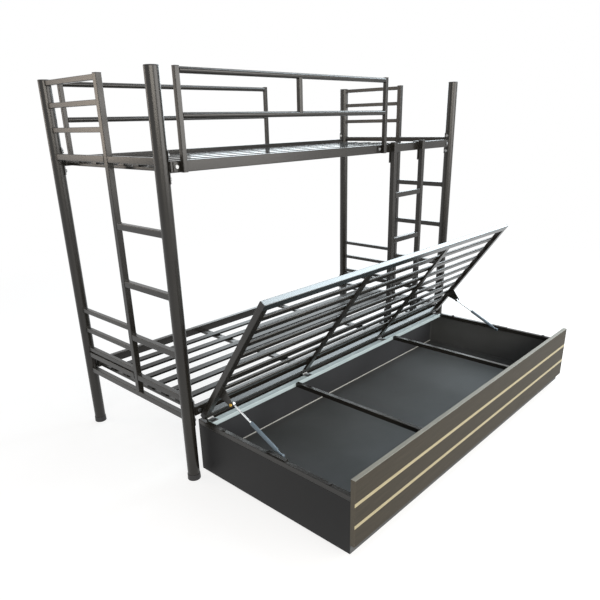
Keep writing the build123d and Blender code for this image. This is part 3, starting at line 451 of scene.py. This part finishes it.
def round_tubes(name, boxes, axis, sides):
    tubes = []
    for centre, size in boxes:
        reach = Vector([size[axis] / 2 if i == axis else 0 for i in range(3)])
        low, high = centre - reach, centre + reach
        along, radius = (high - low).normalized(), size[2 - axis] / 2
        bpy.ops.mesh.primitive_cylinder_add(
            vertices=sides, radius=radius, depth=(high - low).length, location=centre,
            rotation=along.to_track_quat("Z", "Y").to_euler())
        tubes.append(bpy.context.object)
        finish_place(tubes[-1])
        bevel_edges(tubes[-1], lambda a, b: abs((a - b).dot(along)) < radius / 100, RIM_MM, 2)
    tubes = join(tubes, name)
    settle_normals(tubes, 30)
    return tubes


post_boxes = boxes_of("posts")
posts = dress(round_tubes("round_posts", post_boxes, UP, 96), "posts")

for node in ("front_guard", "rear_guard"):
    parts = boxes_of(node)
    squares = make_bars("guard_squares", [box for box in parts if box[1].x <= LONG_BAR], 2.2)
    rounds = round_tubes("guard_rounds", [box for box in parts if box[1].x > LONG_BAR], ALONG, 64)
    dress(join([squares, rounds], "tube_" + node), node)
print("posts", len(posts.data.polygons), "faces")

# %% [markdown]
# ## Weld beads
# Every rail and rung of the ends is welded round its end, to a round post or to the flat mid
# stile, and painted over. From close by such a bead is a low rounded ridge. Each one is a thin
# cube that stands one and a half millimetres proud of its tube, with all its edges rounded. At a
# post it is made deeper, so that it reaches from the tube's side walls, which end further in, to
# the front of the round.

# %% Weld beads on the ends' tubes
BEAD_PROUD, BEAD_SUNK = 1.5 * MM, 1.0 * MM
BEAD_ROUND = 1.15 * MM
POST_LINES = sorted({round(centre.y, 4) for centre, _ in post_boxes})
POST_RADIUS = post_boxes[0][1].x / 2


def bead_box(centre, size, axis, side):
    end = centre[axis] + side * size[axis] / 2
    outer, inner = end - side * BEAD_PROUD, end + side * BEAD_SUNK
    for line in POST_LINES:
        if axis == 1 and abs(end - line) < POST_RADIUS:
            outer = line - side * (POST_RADIUS + BEAD_PROUD)
    place, extent = centre.copy(), size + Vector((2, 2, 2)) * BEAD_PROUD
    place[axis], extent[axis] = (outer + inner) / 2, abs(outer - inner)
    return place, extent


def weld_beads(name, body, *nodes):
    boxes = []
    for centre, size in [box for node in nodes for box in boxes_of(node)]:
        axis = max(range(3), key=lambda i: size[i])
        boxes += [bead_box(centre, size, axis, side) for side in (-1, 1)]
    beads = cubes(boxes, name)
    apply_modifier(beads, "BEVEL", width=BEAD_ROUND, segments=2, limit_method="NONE")
    settle_normals(beads)
    beads.data.materials.append(frame_paint)
    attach(beads, body)
    print(name, len(boxes), "beads")


weld_beads("frame_weld_beads", "bed", "upper_end_rails", "lower_end_rails", "bottom_crossbars",
           "upper_end_guards", "lower_end_guards", "end_rungs")
weld_beads("ladder_weld_beads", "ladder", "ladder_rungs")

# %% [markdown]
# ## Plates, sheets and mouldings
# Laser-cut plates, folded sheet and moulded caps have edges that are broken, never knife sharp.
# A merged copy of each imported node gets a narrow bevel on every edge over 25 degrees, which
# catches a thin line of light, and weighted normals so that flats stay flat and turned faces
# stay smooth. The numbers in EDGES are the bevels' widths in millimetres.

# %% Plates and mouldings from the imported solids
SHARP = math.radians(25)
FLAT = math.radians(1)


def polished(name, node, edge_mm, segments=2):
    thing = frame["nodes"][node]
    piece = new_piece(name, thing.data)
    piece.matrix_world = thing.matrix_world
    finish_place(piece)
    bpy.ops.object.mode_set(mode="EDIT")
    bpy.ops.mesh.select_all(action="SELECT")
    bpy.ops.mesh.remove_doubles(threshold=MERGE)
    bpy.ops.mesh.dissolve_limited(angle_limit=FLAT)
    leave_edit()
    apply_modifier(piece, "BEVEL", width=edge_mm * MM, segments=segments, limit_method="ANGLE",
                   angle_limit=SHARP, miter_outer="MITER_ARC")
    settle_normals(piece, 40)
    return piece


EDGES = {"foot_glides": 0.8, "post_caps": 0.5, "saddle_brackets": 0.5, "rail_tongues": 0.4,
         "tube_caps": 0.7, "guard_foot_plates": 0.6, "ladder_caps": 0.7, "ladder_hooks": 0.9,
         "box_side_panels": 0.4, "box_front_panel": 0.3, "box_rear_panel": 0.3,
         "box_rim_caps": 0.7, "box_floor": 0.3, "board_screws": 0.4, "lid_buffers": 0.8,
         "castor_forks": 0.4, "castor_axles": 0.4, "hinge_box_leaves": 0.4,
         "hinge_lid_leaves": 0.3, "hinge_pins": 0.3, "strut_foot_brackets": 0.6,
         "lid_caps": 0.7, "strut_top_brackets": 0.6, "left_strut_cylinder": 0.4,
         "right_strut_cylinder": 0.4, "left_strut_rod": 0.3, "right_strut_rod": 0.3}
for node, edge in EDGES.items():
    dress(polished("form_" + node, node, edge), node)
print("plates and mouldings", len(EDGES))

# %% [markdown]
# ## Two coats on one sheet
# The box is black outside, as the frame is, and slate inside. Its rear wall is darker than the
# rest: painted shade. The outer faces are found by their normals: on the side panels they point
# away from the middle of the box, and on the rear wall they point to the rear.

# %% Outer coat of the box's walls
side_panels = bpy.data.objects["form_box_side_panels"]
rear_panel = bpy.data.objects["form_box_rear_panel"]
# Painted shade: the rear wall's inner faces take a darker slate.
rear_panel.data.materials[0] = rear_wall_painted_shade
coat_faces(side_panels, outer_sheet_paint,
           lambda face: face.normal.x * math.copysign(1, face.center.x) > 0.5)
coat_faces(rear_panel, outer_sheet_paint, lambda face: face.normal.y > 0.5)

# %% [markdown]
# ## The seam at the foot of the rear wall
# A thin broken bright line, a highlight along the fold, runs where the box's floor meets its rear
# wall. It is painted as one long thin pale bar, laid in the corner, with its long edges rounded
# off like a fingertip's fillet.

# %% Sealant bead
SEAM_GAP = 12 * MM
SEAM_DEPTH, SEAM_HEIGHT = 5 * MM, 4 * MM
wall_low, wall_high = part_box("box_rear_panel")
floor_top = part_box("box_floor")[1][2]
seam_size = Vector((wall_high[0] - wall_low[0] - 2 * SEAM_GAP, SEAM_DEPTH, SEAM_HEIGHT))
seam_place = Vector((0, wall_low[1] - SEAM_DEPTH / 2, floor_top + SEAM_HEIGHT / 2))
seam = make_bars("seam_highlight_bar", [(seam_place, seam_size)], 1.4)
# The bar's pale colour is a painted highlight.
seam.data.materials.append(seam_highlight_paint)
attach(seam, "storage_box")
print("bead", round(seam_size.x, 3), "m long")

# %% [markdown]
# ## Bolts
# The frame is held by M8 hexagon bolts on plain washers. One bolt is made: a disc washer and a
# six-sided head, whose six corners are turned off a little by meeting it with a round bar. It is
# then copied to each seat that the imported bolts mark: of a packed bolt's six sides, the widest
# face is the top of its head, and that side looks outwards.

# %% One bolt, copied to every seat
BOLT_RISE = 5.3 * MM
HEAD_FLATS = 13.0 * MM
WASHER_RADIUS, WASHER_THICK = 8.0 * MM, 1.4 * MM
TURNED_RADIUS, TURNED_LENGTH = 0.56 * HEAD_FLATS, 12 * MM
FACE_DEPTH = 0.2 * MM
SIDES = [(axis, side) for axis in range(3) for side in (-1, 1)]


def disc(radius, low, high, sides):
    bpy.ops.mesh.primitive_cylinder_add(vertices=sides, radius=radius, depth=high - low,
                                        location=(0, 0, (low + high) / 2))
    return bpy.context.object


def make_bolt():
    washer = disc(WASHER_RADIUS, 0, WASHER_THICK, 48)
    apply_modifier(washer, "BEVEL", width=0.3 * MM, segments=2, limit_method="ANGLE")
    head = disc(HEAD_FLATS / math.sqrt(3), WASHER_THICK, BOLT_RISE, 6)
    finish_place(head)
    turned = disc(TURNED_RADIUS, 0, TURNED_LENGTH, 48)
    apply_modifier(turned, "BEVEL", width=0.2 * MM, segments=1, limit_method="ANGLE")
    apply_modifier(head, "BOOLEAN", operation="INTERSECT", object=turned, solver="EXACT")
    bpy.data.objects.remove(turned)
    apply_modifier(head, "BEVEL", width=0.35 * MM, segments=2, limit_method="ANGLE",
                   angle_limit=SHARP)
    bolt = join([washer, head], "bolt")
    settle_normals(bolt, 35)
    return bolt


def seat_of(corners):
    centre, size = box_of(corners)

    def width(side):
        axis, sign = side
        end = centre[axis] + sign * size[axis] / 2
        face = [corner for corner in corners if abs(corner[axis] - end) < FACE_DEPTH]
        return max((a - b).length for a in face for b in face)

    axis, outward = max(SIDES, key=width)
    direction = Vector([outward if i == axis else 0 for i in range(3)])
    return centre + direction * (size[axis] / 2 - BOLT_RISE), direction


def copy_to_seats(original, node):
    copies = []
    for place, direction in [seat_of(corners) for corners in islands(node)]:
        copies.append(new_piece(original.name + "_copy", original.data))
        turn = direction.to_track_quat("Z", "Y").to_matrix().to_4x4()
        copies[-1].matrix_world = Matrix.Translation(place) @ turn
    return copies


bolt = make_bolt()
bolts = join(copy_to_seats(bolt, "frame_bolts"), "hexagon_bolts")
bpy.data.objects.remove(bolt)
dress(bolts, "frame_bolts")
print("bolts", len(bolts.data.polygons), "faces")

# %% [markdown]
# ## The golden bolts of the struts
# The top ends of the gas struts hang on yellow zinc bolts, which glint in the photograph. They
# sit in the lid's turned frame, so a polished copy keeps their seat.

# %% Golden bolts
golden_bolts = dress(polished("golden_strut_bolts", "strut_top_bolts", 0.5), "strut_top_bolts")
print("golden bolts", len(golden_bolts.data.polygons), "faces")

# %% [markdown]
# ## Castor wheels
# Each wheel is one moulding: a tread with rounded shoulders, a face dished by an inset that is
# pushed in, and a hub that stays proud. It is made once and copied to the four axles.

# %% Wheels
WHEEL_RADIUS, WHEEL_WIDTH = 20 * MM, 18 * MM
TREAD_WALL, DISH_SLOPE, DISH_DEPTH = 5 * MM, 1 * MM, 3 * MM
DISH_WIDTH, HUB_SLOPE, HUB_RISE = 6 * MM, 0.8 * MM, 2.6 * MM
WHEELS = ("front_left_wheel", "rear_left_wheel", "front_right_wheel", "rear_right_wheel")


def make_wheel():
    bpy.ops.mesh.primitive_cylinder_add(vertices=64, radius=WHEEL_RADIUS, depth=WHEEL_WIDTH,
                                        rotation=(0, math.radians(90), 0))
    wheel = bpy.context.object
    finish_place(wheel)
    for side in (-1, 1):
        enter_edit("FACE")
        leave_edit()
        for face in wheel.data.polygons:
            face.select = face.normal.x * side > 0.9
        bpy.ops.object.mode_set(mode="EDIT")
        bpy.ops.mesh.inset(thickness=TREAD_WALL)
        bpy.ops.mesh.inset(thickness=DISH_SLOPE)
        bpy.ops.transform.translate(value=(-side * DISH_DEPTH, 0, 0))
        bpy.ops.mesh.inset(thickness=DISH_WIDTH)
        bpy.ops.mesh.inset(thickness=HUB_SLOPE)
        bpy.ops.transform.translate(value=(side * HUB_RISE, 0, 0))
        leave_edit()
    apply_modifier(wheel, "BEVEL", width=1.0 * MM, segments=3, limit_method="ANGLE",
                   angle_limit=math.radians(40))
    settle_normals(wheel, 40)
    return wheel


wheel = make_wheel()
for node in WHEELS:
    twin = new_piece("castor_" + node, wheel.data)
    twin.location = boxes_of(node)[0][0]
    finish_place(twin)
    dress(twin, node)
bpy.data.objects.remove(wheel)
print("wheels on their axles", len(WHEELS))

# %% [markdown]
# ## The front board
# The front of the box is a laminated board with two pale inlaid stripes. Its face is printed wood
# in a dark taupe and its sawn ends wear a lighter band. Its top edge is a grey band, painted
# brighter as a highlight. A merged copy of the imported board keeps the two grooves. Its edges are
# broken by half a millimetre or so, and its end and top faces, broken edges and all, take the
# bands' materials.

# %% Board, edge bands and inlays
BOARD_EDGE_MM = 0.6
BAND_REACH = 0.7 * MM
board = dress(polished("laminate_board", "front_board", BOARD_EDGE_MM, 3), "front_board")
board_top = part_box("front_board")[1]


def at_board_end(face):
    return abs(abs(face.center.x) - board_top.x) < BAND_REACH


coat_faces(board, board_edge, at_board_end)
# The top faces take a grey band with a painted highlight.
coat_faces(board, board_top_band_and_highlight,
           lambda face: board_top.z - face.center.z < BAND_REACH and not at_board_end(face))
dress(polished("inlaid_stripes", "board_stripes", 0.4), "board_stripes")

# %% [markdown]
# ## A white floor that keeps a shadow
# The photograph shows the bed cut out on white. The floor is pale matt paint for the light that
# falls on the bed. Only rays from the camera, and those that a glossy or clear surface sends on,
# see it whiter: part plain glow, part paint, so that it is white in the open and a soft shadow
# still stands under the box. From two metres out to four and a half it fades to plain white, so
# no horizon shows. The world is white in the same way. Neither puts more light on the bed.

# %% Floor and world
FLOOR_SIZE, FLOOR_DROP = 60, 0.5 * MM
FADE_FROM, FADE_TO = 2.0, 4.5
WHITE = (1, 1, 1, 1)
FLOOR_GLOW, FLOOR_MATT = 0.77, (0.32, 0.32, 0.32, 1)
SKY_COLOUR, SKY_STRENGTH = (0.95, 0.97, 1.0, 1), 0.38

bpy.ops.mesh.primitive_plane_add(size=FLOOR_SIZE, location=(0, 0, -FLOOR_DROP))
floor = bpy.context.object
floor.name = "floor"
floor_material, ground, floor_paint = new_material("studio_floor", Roughness=0.9,
                                                   Base_Color=linear("d0d0d0"))
floor.data.materials.append(floor_material)


def seen_rays(tree):
    path = add_node(tree, "ShaderNodeLightPath")
    first = add_node(tree, "ShaderNodeMath", {"operation": "MAXIMUM"},
                     {0: path.outputs["Is Camera Ray"], 1: path.outputs["Is Glossy Ray"]})
    return add_node(tree, "ShaderNodeMath", {"operation": "MAXIMUM"},
                    {0: first.outputs[0], 1: path.outputs["Is Transmission Ray"]}).outputs[0]


glow = add_node(ground, "ShaderNodeEmission", {"Color": WHITE, "Strength": FLOOR_GLOW})
matt = add_node(ground, "ShaderNodeBsdfDiffuse", {"Color": FLOOR_MATT})
near_floor = add_node(ground, "ShaderNodeAddShader",
                      links={0: glow.outputs[0], 1: matt.outputs[0]})
plain_white = add_node(ground, "ShaderNodeEmission", {"Color": WHITE, "Strength": 1.0})
spot = add_node(ground, "ShaderNodeTexCoord")
reach = add_node(ground, "ShaderNodeVectorMath", {"operation": "LENGTH"},
                 {0: spot.outputs["Object"]})
fade = add_node(ground, "ShaderNodeMapRange", {"From Min": FADE_FROM, "From Max": FADE_TO},
                {"Value": reach.outputs["Value"]})
white_floor = add_node(ground, "ShaderNodeMixShader", links={
    0: fade.outputs["Result"], 1: near_floor.outputs[0], 2: plain_white.outputs[0]})
floor_mix = add_node(ground, "ShaderNodeMixShader", links={
    0: seen_rays(ground), 1: floor_paint.outputs[0], 2: white_floor.outputs[0]})
ground.links.new(floor_mix.outputs[0], ground.nodes["Material Output"].inputs["Surface"])

world = bpy.data.worlds.new("studio")
bpy.context.scene.world = world
world.use_nodes = True
sky = world.node_tree
soft = sky.nodes["Background"]
soft.inputs["Color"].default_value = SKY_COLOUR
soft.inputs["Strength"].default_value = SKY_STRENGTH
white = add_node(sky, "ShaderNodeBackground", {"Color": WHITE, "Strength": 1.0})
sky_mix = add_node(sky, "ShaderNodeMixShader", links={
    0: seen_rays(sky), 1: soft.outputs[0], 2: white.outputs[0]})
sky.links.new(sky_mix.outputs[0], sky.nodes["World Output"].inputs["Surface"])
print("floor and world ready")

# %% [markdown]
# ## Soft lamps for the eye to find in the gloss
# Dark gloss paint shows its shape through what it mirrors. Each lamp is a large soft panel, set
# where a face of the bed mirrors it towards the camera. The front panel lights the rails' fronts
# and the board. The one by the camera draws a soft line down the posts. A slim warm one behind
# the left end is what the outer face of its mid stile mirrors. The right one, high up, is what
# the lid's front rail and the tops of the round bars mirror, and the far one is what the slats'
# tops mirror. The last two are cool, as the sky is.

# %% Lamps
LAMPS = (
    # name, place, aim, width, height, power in watts, colour
    ("front_lamp", (1.2, -3.9, 1.9), (0, 0, 1.1), 4.2, 2.0, 130, (1.0, 0.965, 0.92)),
    ("camera_side_lamp", (-3.9, -4.0, 2.3), (-0.6, 0, 1.3), 4.2, 1.6, 160, (1.0, 0.93, 0.82)),
    ("left_lamp", (-2.42, 2.84, 1.8), (-0.99, 0.35, 1.5), 0.4, 1.4, 9, (1.0, 0.83, 0.66)),
    ("right_lamp", (3.1, -0.65, 3.3), (0, -0.4, 0.6), 1.0, 3.8, 120, (0.8, 0.93, 1.0)),
    ("far_lamp", (3.9, 3.2, 2.3), (0, 0, 0.9), 4.0, 2.6, 80, (0.85, 0.95, 1.0)),
)

for name, place, aim, width, height, power, colour in LAMPS:
    bpy.ops.object.light_add(type="AREA", location=place)
    lamp = bpy.context.object
    lamp.name = name
    lamp.visible_camera = False
    lamp.data.shape = "RECTANGLE"
    lamp.data.size, lamp.data.size_y = width, height
    lamp.data.energy = power
    lamp.data.color = colour
    lamp.rotation_euler = (Vector(aim) - Vector(place)).to_track_quat("-Z", "Y").to_euler()
bpy.context.scene.view_settings.view_transform = "Standard"
print("lamps set", len(LAMPS))
